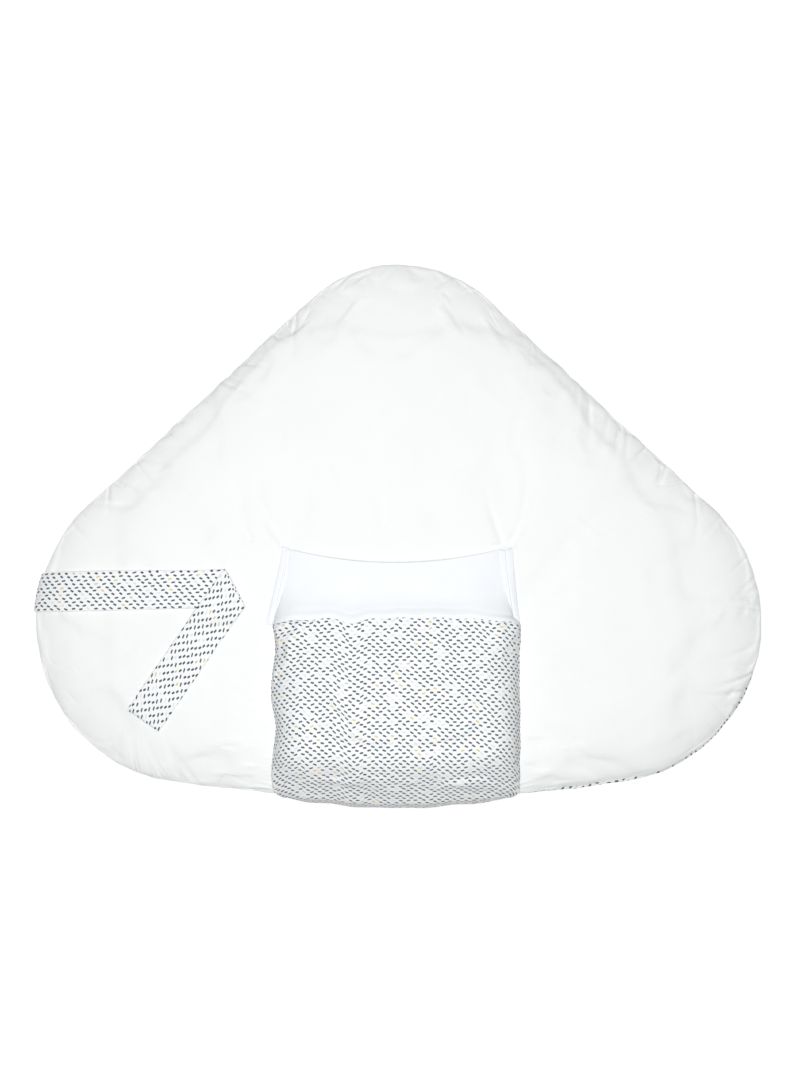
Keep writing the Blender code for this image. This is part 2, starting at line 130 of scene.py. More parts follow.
class Shade:
    """One socket of a material: arithmetic on it adds Math nodes, and node() adds any other."""

    def __init__(self, socket):
        self.socket = socket

    def node(self, kind, settings=None, inputs=None, output=0):
        """A node of any kind: its settings are set first, then its sockets get values or links."""
        tree = self.socket.id_data
        made = tree.nodes.new(kind)
        for name, value in (settings or {}).items():
            setattr(made, name, value)
        for key, value in (inputs or {}).items():
            if isinstance(value, Shade):
                tree.links.new(value.socket, made.inputs[key])
            else:
                made.inputs[key].default_value = value
        return Shade(made.outputs[output])

    def math(self, operation, *terms):
        return self.node("ShaderNodeMath", {"operation": operation}, dict(enumerate(terms)))

    def __add__(self, other):
        return self.math("ADD", self, other)

    def __radd__(self, other):
        return self.math("ADD", other, self)

    def __sub__(self, other):
        return self.math("SUBTRACT", self, other)

    def __rsub__(self, other):
        return self.math("SUBTRACT", other, self)

    def __mul__(self, other):
        return self.math("MULTIPLY", self, other)

    def __rmul__(self, other):
        return self.math("MULTIPLY", other, self)

    def __truediv__(self, other):
        return self.math("DIVIDE", self, other)


def new_cloth(name, roughness, sheen):
    """A Principled material, with its output socket and the piece's UVs in metres as Shades."""
    material = bpy.data.materials.new(name)
    material.use_nodes = True
    shader = material.node_tree.nodes["Principled BSDF"]
    shader.inputs["Roughness"].default_value = roughness
    shader.inputs["Specular IOR Level"].default_value = 0.25
    shader.inputs["Sheen Weight"].default_value = sheen
    shader.inputs["Sheen Roughness"].default_value = 0.5
    uv = Shade(material.node_tree.nodes.new("ShaderNodeUVMap").outputs["UV"])
    u = uv.node("ShaderNodeSeparateXYZ", inputs={0: uv}, output="X")
    v = Shade(u.socket.node.outputs["Y"])
    return material, shader, uv, u, v


def noise(uv, stretch, detail):
    """Smooth noise over the cloth, at stretch features to the metre along u and v."""
    scaled = uv.node(
        "ShaderNodeVectorMath", {"operation": "MULTIPLY"}, {0: uv, 1: (*stretch, 1.0)}
    )
    settings = {"noise_dimensions": "2D"}
    inputs = {"Vector": scaled, "Scale": 1.0, "Detail": detail, "Roughness": 0.55}
    return uv.node("ShaderNodeTexNoise", settings, inputs, output=0)


def finish_cloth(shader, colour, height, distance, strength):
    """Gives a shader its colour, and a bump from a height of 0 to 1 over a distance in metres."""
    inputs = {"Height": height, "Distance": distance, "Strength": strength}
    bump = height.node("ShaderNodeBump", inputs=inputs)
    links = bump.socket.id_data.links
    links.new(bump.socket, shader.inputs["Normal"])
    links.new(colour.socket, shader.inputs["Base Color"])


def plain_weave(uv, u, v, pitch):
    """Height of a plain weave: threads over and under in turn, some of them thicker than others."""
    turn = math.pi / pitch
    over_under = (u * turn).math("SINE", u * turn) * (v * turn).math("SINE", v * turn)
    slubs = noise(uv, (90.0, 1400.0), 2.0) + noise(uv, (1400.0, 90.0), 2.0)
    creasing = noise(uv, (45.0, 38.0), 3.0)
    return over_under * 0.10 + slubs * 0.20 + creasing * 0.60


def mixed(factor, first, second):
    """The first colour where the factor is 0, and the second where it is 1."""
    return factor.node(
        "ShaderNodeMix", {"data_type": "RGBA"}, {0: factor, 6: first, 7: second}, output=2
    )


thread_pitch = 0.0005
white_percale, shader, uv, u, v = new_cloth("white_percale", 0.88, 0.08)
blotch = noise(uv, (7.0, 9.0), 2.0)
percale_colour = mixed(blotch, (0.845, 0.868, 0.858, 1.0), (0.868, 0.886, 0.878, 1.0))
finish_cloth(shader, percale_colour, plain_weave(uv, u, v, thread_pitch), 0.0009, 0.55)


def outline_arcs():
    """(centre, radius, start angle, end angle) of each arc, anticlockwise from the right lobe.

    The bottom arc holds both lobes inside it, and a straight side joins each lobe to the top arc."""
    lobe_x = half_width - lobe_radius
    bottom_centre = bottom_y + bottom_radius
    reach = bottom_radius - lobe_radius
    lobe_y = bottom_centre - math.sqrt(reach**2 - lobe_x**2)
    top_centre = top_y - top_radius
    spread = math.asin(lobe_x / reach)
    lean = math.atan2(lobe_y - top_centre, lobe_x)
    side = lean + math.acos((top_radius - lobe_radius) / math.hypot(lobe_x, lobe_y - top_centre))
    down = 1.5 * math.pi
    return [
        ((lobe_x, lobe_y), lobe_radius, down + spread - 2 * math.pi, side),
        ((0.0, top_centre), top_radius, side, math.pi - side),
        ((-lobe_x, lobe_y), lobe_radius, math.pi - side, down - spread),
        ((0.0, bottom_centre), bottom_radius, down - spread, down + spread),
    ]


arcs = outline_arcs()


def rim_frame(x, y):
    """How far inside the outline a point is, the way outwards there, and how far round the rim.

    Each arc measures to its tangent line that faces the point, or to the one at its nearer end,
    and the least distance counts. Round the rim adds up the arcs and the straight sides."""
    inset = np.full(x.shape, np.inf)
    heading = np.zeros(x.shape)
    along = np.zeros(x.shape)
    travelled = 0.0
    for place, ((cx, cy), radius, start, end) in enumerate(arcs):
        middle = (start + end) / 2
        turn = (np.arctan2(y - cy, x - cx) - middle + math.pi) % (2 * math.pi) - math.pi
        nearest = np.clip(turn, start - middle, end - middle)
        reach = np.hypot(x - cx, y - cy)
        depth = radius - reach * np.cos(turn - nearest)
        closer = depth < inset
        inset = np.where(closer, depth, inset)
        heading = np.where(closer, middle + nearest, heading)
        slide = radius * (nearest - start + middle) + reach * np.sin(turn - nearest)
        along = np.where(closer, travelled + slide, along)
        (nx, ny), next_radius, next_start, _ = arcs[(place + 1) % 4]
        gap_x = nx + next_radius * math.cos(next_start) - cx - radius * math.cos(end)
        gap_y = ny + next_radius * math.sin(next_start) - cy - radius * math.sin(end)
        travelled += radius * (end - start) + math.hypot(gap_x, gap_y)
    return inset, np.cos(heading), np.sin(heading), along


def outline_points(depth):
    """Closely spaced points of the outline at a depth inside it.

    Each arc loses that much radius, and a straight run of points joins it to the next one."""
    curves = []
    for (cx, cy), radius, start, end in arcs:
        turn = np.linspace(start, end, 600)
        reach = radius - depth
        curves.append(np.stack([cx + reach * np.cos(turn), cy + reach * np.sin(turn)], -1))
    joins = [np.linspace(a[-1], b[0], 500)[1:-1] for a, b in zip(curves, curves[1:] + curves[:1])]
    return np.concatenate([part for pair in zip(curves, joins) for part in pair])


def outline_reach(angle):
    """Distance from the origin to the outline along each angle, read off its points."""
    x, y = outline_points(0.0).T
    return np.interp(angle, np.arctan2(y, x), np.hypot(x, y), period=2 * math.pi)


crowding = 1.42


def crowded(part, amount):
    """Parts from -1 to 1, moved towards both ends: sin(amount part) / sin(amount)."""
    return np.sin(amount * part) / math.sin(amount)


def pad_plan(count):
    """Plan of the pad as a square grid pressed into its outline, with rows crowding at the rim.

    The square becomes a disc by x = a root(1 - b²/2), y = b root(1 - a²/2). A radius r of the disc
    becomes sin(1.42 r) / sin(1.42), and each ray is then stretched to reach the outline."""
    side = np.linspace(-1, 1, count)
    a, b = np.meshgrid(side, side)
    disc_x, disc_y = a * np.sqrt(1 - b**2 / 2), b * np.sqrt(1 - a**2 / 2)
    radius, angle = np.hypot(disc_x, disc_y), np.arctan2(disc_y, disc_x)
    reach = crowded(radius, crowding) * outline_reach(angle)
    return reach * np.cos(angle), reach * np.sin(angle)


def rolled(inset, roll, foot, crown):
    """Height of an elliptic edge: the foot at no inset, rising to the crown at the roll's width."""
    return foot + (crown - foot) * np.sqrt(1 - (1 - np.clip(inset / roll, 0, 1)) ** 2)


def flat_pattern(x, y, roll, rise):
    """UVs in metres: the plan, with the edge roll laid flat outwards along its own length."""
    turn = np.linspace(0, math.pi / 2, 400)
    steps = np.hypot(np.diff(roll * (1 - np.cos(turn))), np.diff(rise * np.sin(turn)))
    length = np.concatenate([[0], np.cumsum(steps)])
    inset, out_x, out_y, _ = rim_frame(x, y)
    inset = np.clip(inset, 0, roll)
    spare = length[-1] - np.interp(inset, roll * (1 - np.cos(turn)), length) - (roll - inset)
    return np.stack([x + out_x * spare, y + out_y * spare], -1)


def ripples(x, y, wavelength, seed):
    """A smooth random field, mostly between -1 and 1: 14 plane waves in seeded directions."""
    random, waves = np.random.default_rng(seed), 14
    heading = random.uniform(0, 2 * math.pi, waves)
    number = 2 * math.pi / (wavelength * random.uniform(0.7, 1.5, waves))
    phase = random.uniform(0, 2 * math.pi, waves)
    wave = x[..., None] * np.cos(heading) + y[..., None] * np.sin(heading)
    return np.sin(wave * number + phase).sum(-1) / math.sqrt(waves)


def grid_quads(rows, columns):
    """The quads of a grid of points, facing the side from which rows run anticlockwise of columns."""
    index = np.arange(rows * columns).reshape(rows, columns)
    quads = [index[:-1, :-1], index[:-1, 1:], index[1:, 1:], index[1:, :-1]]
    return np.stack(quads, -1).reshape(-1, 4)


def grid_normals(points):
    """Unit normals of a grid: the cross product of its steps across and along."""
    along, across = np.gradient(points, axis=0), np.gradient(points, axis=1)
    normals = np.cross(across, along)
    return normals / np.maximum(np.linalg.norm(normals, axis=-1, keepdims=True), 1e-12)


def new_piece(name, points, uv, quads, normals, material):
    """A smooth mesh of some of a grid's quads. It keeps the whole cloth's normals, so no cut shows."""
    used, corners = np.unique(quads, return_inverse=True)
    mesh = bpy.data.meshes.new(name)
    mesh.from_pydata(points.reshape(-1, 3)[used], [], corners.reshape(-1, 4))
    mesh.polygons.foreach_set("use_smooth", np.ones(len(quads), bool))
    layer = mesh.uv_layers.new(name="UVMap")
    layer.data.foreach_set("uv", uv.reshape(-1, 2)[quads.ravel()].ravel())
    mesh.normals_split_custom_set_from_vertices(normals.reshape(-1, 3)[used])
    mesh.materials.append(material)
    mesh.update()
    piece = bpy.data.objects.new(name, mesh)
    bpy.context.scene.collection.objects.link(piece)
    return piece


def upward(points):
    """1 where a grid's own normals point up on the whole, and -1 where they point down."""
    return int(np.sign(grid_normals(points)[..., 2].mean()))


def grid_piece(name, points, uv, material, facing=1):
    """A piece made of a whole grid, with its faces and normals turned round where facing is -1."""
    quads = grid_quads(*points.shape[:2])[:, ::facing]
    return new_piece(name, points, uv, quads, facing * grid_normals(points), material)


settling_frames = 20


def settle_cloth(points, held, pressure, spare):
    """The grid after some frames as cotton cloth under air pressure, cut larger by the spare share.

    Held points stay where they are. Gravity is off, because the wadding carries the cloth."""
    rows, columns = held.shape
    mesh = bpy.data.meshes.new("settling")
    mesh.from_pydata(points.reshape(-1, 3), [], grid_quads(rows, columns))
    cloth = bpy.data.objects.new("settling", mesh)
    bpy.context.scene.collection.objects.link(cloth)
    pins = cloth.vertex_groups.new(name="held")
    pins.add(np.flatnonzero(held).tolist(), 1.0, "REPLACE")
    modifier = cloth.modifiers.new("cloth", "CLOTH")
    settings = modifier.settings
    settings.quality = 6
    settings.mass = 0.2
    settings.tension_stiffness = settings.compression_stiffness = 18.0
    settings.shear_stiffness = 8.0
    settings.bending_stiffness = 0.35
    settings.use_pressure = True
    settings.uniform_pressure_force = pressure
    settings.shrink_min = -spare
    settings.vertex_group_mass = "held"
    settings.effector_weights.gravity = 0.0
    modifier.point_cache.frame_start = 1
    modifier.point_cache.frame_end = settling_frames
    for step in range(1, settling_frames + 1):
        bpy.context.scene.frame_set(step)
    settled = cloth.evaluated_get(bpy.context.evaluated_depsgraph_get()).to_mesh()
    moved = np.empty(rows * columns * 3, np.float32)
    settled.vertices.foreach_get("co", moved)
    bpy.data.objects.remove(cloth, do_unlink=True)
    bpy.data.meshes.remove(mesh)
    bpy.context.scene.frame_set(1)
    return moved.reshape(points.shape).astype(float)


def eased(step, most):
    """A movement held softly under a distance: it grows as most times tanh(step / most)."""
    length = np.maximum(np.linalg.norm(step, axis=-1, keepdims=True), 1e-12)
    return step * (most * np.tanh(length / most) / length)


def finer(grid, rows, columns):
    """The grid read at more rows and columns: straight between its points, then smoothed twice."""
    for axis, count in enumerate((rows, columns)):
        coarse = np.moveaxis(grid, axis, 0)
        place = np.linspace(0, len(coarse) - 1, count)
        below = np.minimum(place.astype(int), len(coarse) - 2)
        part = (place - below).reshape(-1, *[1] * (coarse.ndim - 1))
        fine = coarse[below] * (1 - part) + coarse[below + 1] * part
        for _ in range(2):
            fine[1:-1] = (fine[:-2] + 2 * fine[1:-1] + fine[2:]) / 4
        grid = np.moveaxis(fine, 0, axis)
    return grid


def without_creases(grid, passes):
    """The broad shape of a grid: each pass gives a point half of itself and half of its neighbours."""
    for _ in range(passes):
        for axis in (0, 1):
            lines = np.moveaxis(grid, axis, 0)
            padded = np.concatenate([lines[:1], lines, lines[-1:]])
            grid = np.moveaxis((padded[:-2] + 2 * lines + padded[2:]) / 4, 0, axis)
    return grid


def groove(x, y, start, heading, bend, length, width):
    """Depth from 0 to 1 of a fold that starts at a point and curves away from it.

    Its line turns by bend from heading over its length. Across, it fades as a bell of that width,
    and along, it rises at once and fades to nothing at its far end."""
    steps = 48
    part = np.linspace(0, 1, steps)
    turn = heading + bend * part
    line_x = start[0] + length * np.cumsum(np.cos(turn)) / steps
    line_y = start[1] + length * np.cumsum(np.sin(turn)) / steps
    away = np.hypot(x[..., None] - line_x, y[..., None] - line_y) / (width * (1 + part))
    strength = np.exp(-(away**2)) * (1 - part**2)
    return strength.max(-1)


settling_rows, front_rows, back_rows = 141, 401, 201
at_rim = 1e-5
covered_x, covered_half, covered_top = -0.003, 0.150, -0.115
most_broad, most_creased = 0.0015, 0.0013

x, y = pad_plan(settling_rows)
inset = rim_frame(x, y)[0]
base = np.stack([x, y, rolled(inset, front_roll, rim_z, crown_z)], -1)
swell = np.zeros(base.shape)
under_pouch = (np.abs(x - covered_x) < covered_half) & (y < covered_top)
settled = settle_cloth(base, (inset < at_rim) | under_pouch, pressure=0.6, spare=0.020) - base
broad = without_creases(settled, 40)
swell = eased(broad, most_broad) + eased(settled - broad, most_creased)

x, y = pad_plan(front_rows)
inset, out_x, out_y, along = rim_frame(x, y)
plain_z = rolled(inset, front_roll, rim_z, crown_z)
front = np.stack([x, y, plain_z], -1) + finer(swell, front_rows, front_rows)

# Where the seam gathers more than elsewhere: x, y, spread and strength.
gathered_spots = [
    (-0.165, 0.235, 0.060, 2.2),
    (-0.345, 0.085, 0.065, 1.9),
    (0.300, 0.105, 0.075, 1.8),
    (0.430, -0.055, 0.040, 1.5),
    (0.430, -0.180, 0.040, 1.6),
    (-0.280, -0.300, 0.070, 1.3),
]
even_puckering, most_pucker = 0.28, 0.0034
puckering = np.full(x.shape, even_puckering)
for spot_x, spot_y, spread, strength in gathered_spots:
    puckering += strength * np.exp(-((x - spot_x) ** 2 + (y - spot_y) ** 2) / spread**2)


pucker_count, pucker_spacing = 120, 0.0215


def seam_puckers(inset, along):
    """Depth of the small folds that the rim seam gathers, at seeded places all round it.

    Each is a bell across its own slanting line, shallow at the seam, deepest a few millimetres in
    and gone at its reach, with a low ridge on both sides."""
    random = np.random.default_rng(14)
    depth = np.zeros(inset.shape)
    shifts = random.uniform(-0.35, 0.35, pucker_count)
    for place in (np.arange(pucker_count) + shifts) * pucker_spacing:
        lean = random.uniform(-1.0, 1.0)
        width = random.uniform(0.0018, 0.0032)
        reach = random.uniform(0.014, 0.048)
        deepest = random.uniform(0.0008, 0.0030)
        away = (along - place - lean * inset) / (width * (1 + inset / 0.03))
        fading = (1 - np.exp(-inset / 0.003)) * np.exp(-((inset / reach) ** 2))
        depth += deepest * fading * (np.exp(-(away**2)) - 0.3 * np.exp(-((away / 2.6) ** 2)))
    return depth


pucker_depth = most_pucker * np.tanh(puckering * seam_puckers(inset, along) / most_pucker)

tack_left, tack_right = (sum(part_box(f"bar_tack_{side}"), Vector()) / 2 for side in ("left", "right"))
# Depth, tack, shift from it in x and y, heading and bend in degrees, length, width.
folds = [
    (0.0030, tack_left, 0.000, 0.003, 130, -42, 0.110, 0.0042),
    (0.0022, tack_left, -0.043, 0.010, 112, -25, 0.090, 0.0048),
    (0.0034, tack_left, 0.006, 0.002, -14, 8, 0.022, 0.0022),
    (0.0036, tack_right, 0.006, 0.003, 58, 58, 0.150, 0.0056),
    (0.0024, tack_right, -0.002, 0.003, 112, -10, 0.085, 0.0034),
    (0.0034, tack_right, -0.006, 0.002, 192, -8, 0.020, 0.0022),
]
fold_depth = np.zeros(x.shape)
for deepest, tack, shift_x, shift_y, heading, bend, length, width in folds:
    start = (tack.x + shift_x, tack.y + shift_y)
    heading, bend = math.radians(heading), math.radians(bend)
    fold_depth += deepest * groove(x, y, start, heading, bend, length, width)

calm = np.clip(inset / 0.04, 0, 1)
front[..., 2] -= pucker_depth + fold_depth
front[..., 2] += 0.0006 * calm * ripples(x, y, 0.11, 5) + 0.0002 * calm * ripples(x, y, 0.035, 6)


def seam_wander(inset, along):
    """How far the cloth near the rim seam stands in from the outline: a tuck and a slow wave."""
    wave = 0.0003 * np.sin(along * 96) + 0.0004 * np.sin(along * 41 + 2)
    wave += 0.0002 * np.sin(along * 230)
    return np.where(inset < at_rim, 0.0008, 0.0) + (0.0008 + wave) * np.exp(-inset / 0.012)


def seam_lap(x, y):
    """How far the rim seam rolls in over the front: along the lower right rim only."""
    return 0.0028 * np.clip((x - 0.15) / 0.06, 0, 1) * np.clip((-0.13 - y) / 0.06, 0, 1)


drawn_in = seam_wander(inset, along) + seam_lap(x, y) * np.exp(-inset / 0.010)
front[..., 0] -= drawn_in * out_x
front[..., 1] -= drawn_in * out_y

pad_lift = front[..., 2] - plain_z


def lift_at(plan_x, plan_y):
    """How far the settled front stands above its plain edge roll at some plan points.

    The plan is taken back to its grid: the ray to its share of the outline, that share through the
    arcsine to a disc, the disc to the square by the inverse of its two formulas, then a bilinear
    reading between the four nearest grid points."""
    angle = np.arctan2(plan_y, plan_x)
    share = np.clip(np.hypot(plan_x, plan_y) / outline_reach(angle), 0, 1)
    radius = np.arcsin(share * math.sin(crowding)) / crowding
    p, q = radius * np.cos(angle), radius * np.sin(angle)
    root = 2 * math.sqrt(2)

    def square(first, second):
        level = 2 + first**2 - second**2
        high = np.sqrt(np.maximum(level + root * first, 0))
        low = np.sqrt(np.maximum(level - root * first, 0))
        return np.clip((high - low) / 2, -1, 1)

    count = len(pad_lift) - 1
    column, row = (square(p, q) + 1) / 2 * count, (square(q, p) + 1) / 2 * count
    c, r = np.minimum(column.astype(int), count - 1), np.minimum(row.astype(int), count - 1)
    fc, fr = column - c, row - r
    low = pad_lift[r, c] * (1 - fc) + pad_lift[r, c + 1] * fc
    high = pad_lift[r + 1, c] * (1 - fc) + pad_lift[r + 1, c + 1] * fc
    return low * (1 - fr) + high * fr


def bend_with_pad(piece, layer, place):
    """Bakes a piece's transform into its mesh.

    The piece stands for that layer's CAD solid, and the middle one for the hood's as well."""
    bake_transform(piece)
    nodes = [f"{layer}_{place}"] + ([f"{layer}_hood"] if place == "middle" else [])
    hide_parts(*nodes)


# The rectangle that each piece is cut from, the middle and then the wings, and the share it takes.
cover_cuts = [((0.350, 0.690), 0.97), ((0.300, 0.520), 0.77), ((0.300, 0.520), 0.77)]


def split_at_folds(side, points, uv, facing, material, under):
    """Three pieces of one cover of the pad, front or back: the middle with its hood, and the wings."""
    quads = grid_quads(*points.shape[:2])[:, ::facing]
    reach = points[..., 0].ravel()[quads]
    left, right = reach.min(1) < -fold_x, reach.max(1) > fold_x
    normals = facing * grid_normals(points)
    for place, chosen, (cut, share) in zip(bends, (~(left | right), left, right), cover_cuts):
        piece = new_piece(f"{side}_cloth_{place}", points, uv, quads[chosen], normals, material)
        bend_with_pad(piece, f"{side}_cover", place)
        resting, area = [under.format(place=place)], share * cut[0] * cut[1]


front_uv = flat_pattern(x, y, front_roll, crown_z - rim_z)
split_at_folds(
    "front", front, front_uv, 1, white_percale, "filling_{place}"
)


# ---- The pad's back cover ----
# The same outline in cotton printed with small dashes, flat on the table and turned up to the rim.
# A thin line of it shows where the seam rolls towards the front.

back_roll = 0.055


def dashes(u, v, shift, column, row, half_length, half_width):
    """Where one lattice of short strokes covers the cloth, and each stroke's own random number.

    A cell of one column by two rows holds a stroke, moved and turned a little by random numbers of
    its cell: the stroke is every point nearer to its middle line than its half width."""
    across, down = u / column + shift, v / (2 * row) + shift
    cell_u, cell_v = across.math("FLOOR", across), down.math("FLOOR", down)
    cell = u.node("ShaderNodeCombineXYZ", inputs={0: cell_u, 1: cell_v, 2: shift})
    chance = u.node("ShaderNodeTexWhiteNoise", inputs={"Vector": cell}, output="Color")
    first = chance.node("ShaderNodeSeparateColor", inputs={0: chance}, output=0)
    second, third = (Shade(first.socket.node.outputs[i]) for i in (1, 2))
    p = (across - cell_u - 0.5) * column + (second - 0.5) * (0.12 * column)
    q = (down - cell_v - 0.5) * (2 * row) + (third - 0.5) * (0.24 * row)
    spread = second * 7.3
    falling = spread.math("LESS_THAN", spread.math("FRACT", spread), 0.62)
    turn = (third - 0.5) * 0.24 + 0.16 - falling * 0.58
    cosine, sine = turn.math("COSINE", turn), turn.math("SINE", turn)
    length = p * cosine + q * sine
    width = q * cosine - p * sine
    past = length.math("MAXIMUM", length.math("ABSOLUTE", length) - half_length, 0.0)
    away = length.math("SQRT", past * past + width * width)
    fall = {"interpolation_type": "SMOOTHSTEP"}
    stops = {0: away, 1: half_width * 1.25, 2: half_width * 0.75, 3: 0.0, 4: 1.0}
    return u.node("ShaderNodeMapRange", fall, stops), first


def dash_print(u, v):
    """White cloth with strokes on two lattices, half a cell apart, as on a brick wall.

    Most strokes are slate blue. A few in a hundred are ochre, and some are so pale they barely show."""
    column, row = 0.0095, 0.0044
    slate = (0.070, 0.092, 0.104, 1.0)
    ochre = (0.70, 0.58, 0.31, 1.0)
    pale = (0.74, 0.74, 0.77, 1.0)
    colour = (0.86, 0.875, 0.885, 1.0)
    for shift in (0.0, 0.5):
        mask, chance = dashes(u, v, shift, column, row, half_length=0.00132, half_width=0.00104)
        ink = mixed(chance.math("LESS_THAN", chance, 0.12), slate, pale)
        ink = mixed(chance.math("LESS_THAN", chance, 0.035), ink, ochre)
        colour = mixed(mask, colour, ink)
    return colour


printed_cotton, shader, uv, u, v = new_cloth("printed_cotton", 0.88, 0.08)
finish_cloth(shader, dash_print(u, v), plain_weave(uv, u, v, thread_pitch), 0.0009, 0.55)

x, y = pad_plan(back_rows)
inset, out_x, out_y, along = rim_frame(x, y)
back = np.stack([x, y, rolled(inset, back_roll, rim_z, 0.0)], -1)
back[..., 2] += 0.5 * np.abs(seam_puckers(inset, along))
back[..., 2] += 0.0004 * (1 + ripples(x, y, 0.09, 8)) * np.clip(inset / back_roll, 0, 1)
at_seam = np.exp(-inset / 0.0007)
lap_share = at_seam - (1 - at_seam) * np.exp(-inset / 0.02)
drawn_in = seam_wander(inset, along) + seam_lap(x, y) * lap_share
back[..., 0] -= drawn_in * out_x
back[..., 1] -= drawn_in * out_y
back[..., 2] = np.maximum(back[..., 2], 0.0)
back_uv = flat_pattern(x, y, back_roll, rim_z)
split_at_folds("back", back, back_uv, -1, printed_cotton, "white_sweep")


# ---- The pad's wadding ----
# Polyester wadding, cut to the outline and laid between the two covers, a few millimetres thinner
# than the space they leave.

wadding_depth = 0.005
wadding_foot = 0.003
wadding_rows, wadding_columns = 60, 61
wadding_fluff, shader, uv, _, _ = new_cloth("wadding_fluff", 0.95, 0.3)
fibres = noise(uv, (220.0, 260.0), 5.0)
fluff_colour = mixed(fibres, (0.78, 0.78, 0.77, 1.0), (0.90, 0.90, 0.89, 1.0))
finish_cloth(shader, fluff_colour, fibres, 0.002, 0.8)


def wadding_section(stations):
    """Closed sections of the wadding across the pad, one at each x, and one shut row at each end.

    A section runs up its front from its low edge to its high one and back along its back. Its
    points stand at the cosines of even turns, so they crowd at the edges."""
    edge = outline_points(wadding_depth)
    edge = edge[np.argsort(edge[:, 0])]
    upper = edge[:, 1] > arcs[0][0][1]
    high = np.interp(stations, *edge[upper].T)
    low = np.interp(stations, *edge[~upper].T)
    turn = np.linspace(0, 2 * math.pi, wadding_columns)
    centre, half = (high + low)[:, None] / 2, (high - low)[:, None] / 2
    x = np.repeat(stations[:, None], len(turn), 1)
    y = centre - half * np.cos(turn)
    inset = np.clip(rim_frame(x, y)[0] - wadding_depth, 0, 1)
    front = rolled(inset, front_roll, rim_z, crown_z - wadding_depth)
    back = rolled(inset, back_roll, rim_z, wadding_foot)
    points = np.stack([x, y, np.where(turn <= math.pi, front, back)], -1)
    shut = points.mean(1, keepdims=True) + 0 * points
    return np.concatenate([shut[:1], points, shut[-1:]])


tip_x = half_width - wadding_depth
spans = {
    "middle": (-fold_x, fold_x),
    "left_wing": (-tip_x, -fold_x),
    "right_wing": (fold_x, tip_x),
}
for place, (first_x, last_x) in spans.items():
    points = wadding_section(np.linspace(first_x, last_x, wadding_rows)[1:-1])
    piece = grid_piece(f"filling_{place}", points, points[..., :2], wadding_fluff)
    bend_with_pad(piece, "wadding", place)


# ---- The foot pouch ----
# Printed cotton, wadding and a white lining in one wall, sewn down at its sides, wrapped over the
# pad's bottom edge and left open at its mouth, where the cloth is gathered into the cuff's seam.

pouch_low, pouch_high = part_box("pouch_print_cover")
pouch_middle = (pouch_low.x + pouch_high.x) / 2
pouch_half = (pouch_high.x - pouch_low.x) / 2
mouth_y = pouch_high.y
pouch_top = pouch_high.z - 0.002
side_roll, squareness = 0.045, 7
mouth_crowding = 1.36
corner_round, calm_end = 0.013, 0.095
mouth_drop, mouth_slope = 0.018, 0.120
hem_bend, hem_slope, hem_wall = (0.037, 0.067), 1.02, 0.005
overhang_middle, overhang_corner = 0.011, 0.005
lining_depth, fluff_top, fluff_bottom = 0.006, 0.0015, 0.0045


def pad_edge_y(x):
    """The pad's bottom edge at x, on the long bottom arc."""
    (_, centre_y), radius, _, _ = arcs[3]
    return centre_y - np.sqrt(radius**2 - x**2)


def mouth_line(x):
    """The mouth seam's y: a little lower at its ends and drawn down in one notch left of the middle."""
    across = (x - pouch_middle) / pouch_half
    notch = np.exp(-(((x + 0.055) / 0.016) ** 2))
    return mouth_y + 0.003 - 0.007 * across**4 - 0.0065 * notch + 0.0008 * np.sin(x * 140 + 1)


def pouch_grid(rows, columns):
    """The pouch's outside: rows from its mouth to its hem, columns from its left side to its right.

    Across, its height is the root of 1 - q², with q how near the side is. Along, it drops gently to
    the mouth and bends by a square into an even slope down to the hem, where it goes straight down.
    In plan its corners are small quarter rounds. Rows and columns crowd to the edges as sines."""
    a, b = np.meshgrid(np.linspace(-1, 1, columns), np.linspace(0, 1, rows))
    spread = crowded(a, mouth_crowding)
    down = crowded(b, 1.30)
    hem = pad_edge_y(pouch_middle + pouch_half * spread) - overhang_middle
    hem += (overhang_middle - overhang_corner) * spread**2
    rough_y = mouth_y + (hem - mouth_y) * down
    near_end = 1 - np.clip((rough_y - hem) / calm_end, 0, 1)
    cut = 1 - np.clip((rough_y - hem) / corner_round, 0, 1)
    corner = corner_round * (1 - np.sqrt(1 - cut**2))
    left_wave = 0.0024 * np.sin((rough_y - mouth_y) * 62 + 0.4) * (1 - near_end) * (a < 0) * a**4
    x = pouch_middle + (pouch_half - corner) * spread - left_wave
    mouth = mouth_line(x)
    y = mouth + (hem - mouth) * down
    edge = pouch_half - corner - np.abs(x - pouch_middle + left_wave)
    near_side = 1 - np.clip(edge / side_roll, 0, 1)
    from_hem = y - hem
    wall = 1 - np.clip(from_hem / hem_wall, 0, 1)
    q = (near_side**squareness + wall**squareness) ** (1 / squareness)
    q = np.where((np.abs(a) == 1) | (b == 1), 1.0, np.minimum(q, 1.0))
    inset = rim_frame(x, np.maximum(y, pad_edge_y(x)))[0]
    foot = rolled(inset, front_roll, rim_z, crown_z) - 0.002
    top = pouch_top - mouth_drop * np.clip(1 - (mouth - y) / mouth_slope, 0, 1) ** 1.5
    bending = np.clip((hem_bend[1] - from_hem) / (hem_bend[1] - hem_bend[0]), 0, 1)
    top -= hem_slope * (hem_bend[1] - hem_bend[0]) * bending**2 / 2
    top -= hem_slope * np.clip(hem_bend[0] - from_hem, 0, 1)
    top = np.maximum(top, foot + 0.004)
    return np.stack([x, y, foot + (top - foot) * np.sqrt(1 - q**2)], -1)


